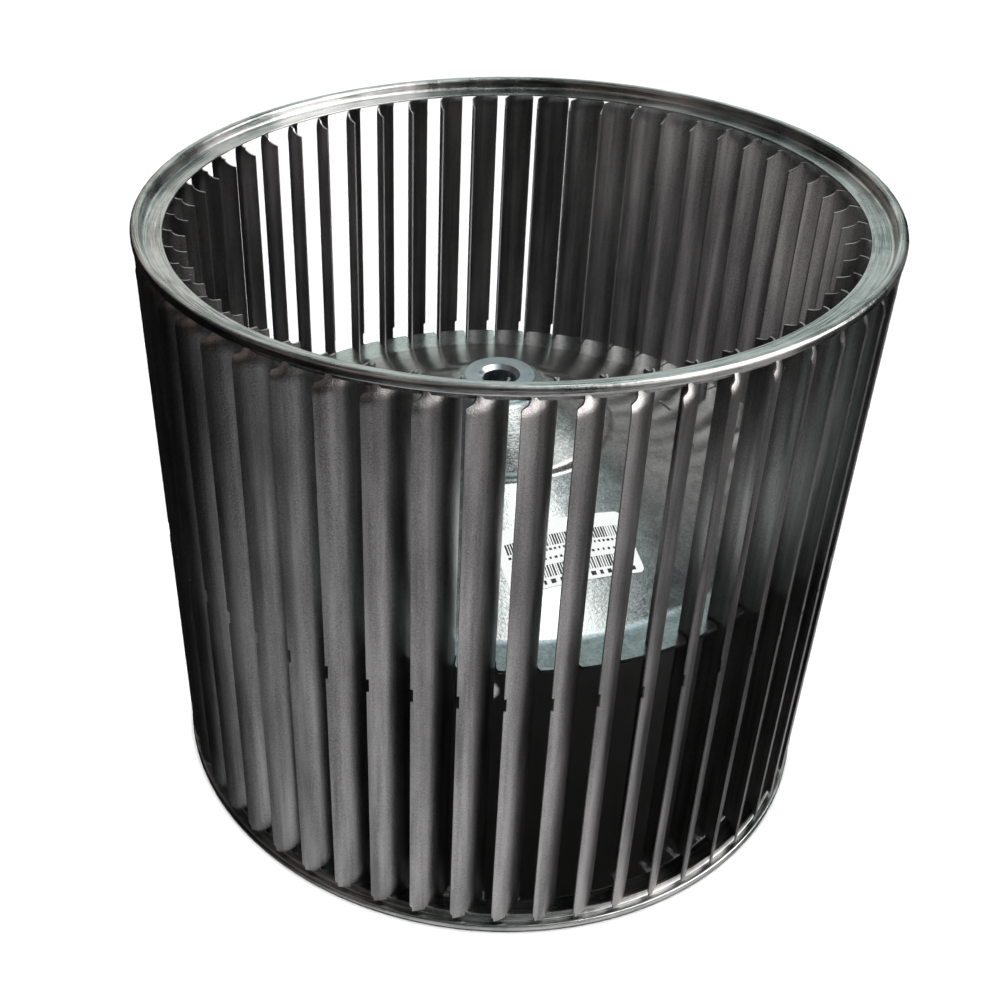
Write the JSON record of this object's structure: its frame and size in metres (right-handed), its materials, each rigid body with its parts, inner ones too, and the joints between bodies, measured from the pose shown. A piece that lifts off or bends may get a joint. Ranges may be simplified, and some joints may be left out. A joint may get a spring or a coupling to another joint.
{
  "type": "blower wheel",
  "caption": "Double-inlet centrifugal blower wheel: a drum of forward-curved blades between two end rings, on a dished centre disc with a bored hub and radial set screw.",
  "frame": {"origin": "centre of the bottom end ring's resting face, on the wheel's axis", "axes": "+Z along the bore and spin axis, from the open motor side towards the staked head of the hub; X and Y are square to it"},
  "size_m": [0.27, 0.27, 0.24],
  "materials": {
    "blade_galvanised": "galvanised sheet, satin, finely speckled",
    "ring_galvanised": "galvanised sheet, rolled and burnished",
    "disc_galvanised": "galvanised sheet with fine spangle",
    "hub_steel": "turned steel, zinc plated",
    "screw_steel": "black oxide",
    "label_paper": "coated white paper"
  },
  "bodies": {
    "wheel": {"top_end_ring": "ring_galvanised", "bottom_end_ring": "ring_galvanised", "centre_disc": "disc_galvanised", "hub": "hub_steel", "label": "label_paper", "blade_01": "blade_galvanised", "blade_02": "blade_galvanised", "blade_03": "blade_galvanised", "blade_04": "blade_galvanised", "blade_05": "blade_galvanised", "blade_06": "blade_galvanised", "blade_07": "blade_galvanised", "blade_08": "blade_galvanised", "blade_09": "blade_galvanised", "blade_10": "blade_galvanised", "blade_11": "blade_galvanised", "blade_12": "blade_galvanised", "blade_13": "blade_galvanised", "blade_14": "blade_galvanised", "blade_15": "blade_galvanised", "blade_16": "blade_galvanised", "blade_17": "blade_galvanised", "blade_18": "blade_galvanised", "blade_19": "blade_galvanised", "blade_20": "blade_galvanised", "blade_21": "blade_galvanised", "blade_22": "blade_galvanised", "blade_23": "blade_galvanised", "blade_24": "blade_galvanised", "blade_25": "blade_galvanised", "blade_26": "blade_galvanised", "blade_27": "blade_galvanised", "blade_28": "blade_galvanised", "blade_29": "blade_galvanised", "blade_30": "blade_galvanised", "blade_31": "blade_galvanised", "blade_32": "blade_galvanised", "blade_33": "blade_galvanised", "blade_34": "blade_galvanised", "blade_35": "blade_galvanised", "blade_36": "blade_galvanised", "blade_37": "blade_galvanised", "blade_38": "blade_galvanised", "blade_39": "blade_galvanised", "blade_40": "blade_galvanised", "blade_41": "blade_galvanised", "blade_42": "blade_galvanised", "blade_43": "blade_galvanised", "blade_44": "blade_galvanised", "blade_45": "blade_galvanised", "blade_46": "blade_galvanised", "blade_47": "blade_galvanised", "blade_48": "blade_galvanised", "blade_49": "blade_galvanised", "blade_50": "blade_galvanised", "blade_51": "blade_galvanised", "blade_52": "blade_galvanised", "blade_53": "blade_galvanised", "blade_54": "blade_galvanised"},
    "set_screw": {"set_screw": "screw_steel"}
  },
  "joints": [
    {"name": "set_screw_travel", "type": "slide", "parent": "wheel", "child": "set_screw", "axis": [-0.7314, 0.682, 0], "range_m": [-0.0012, 0.009]}
  ]
}
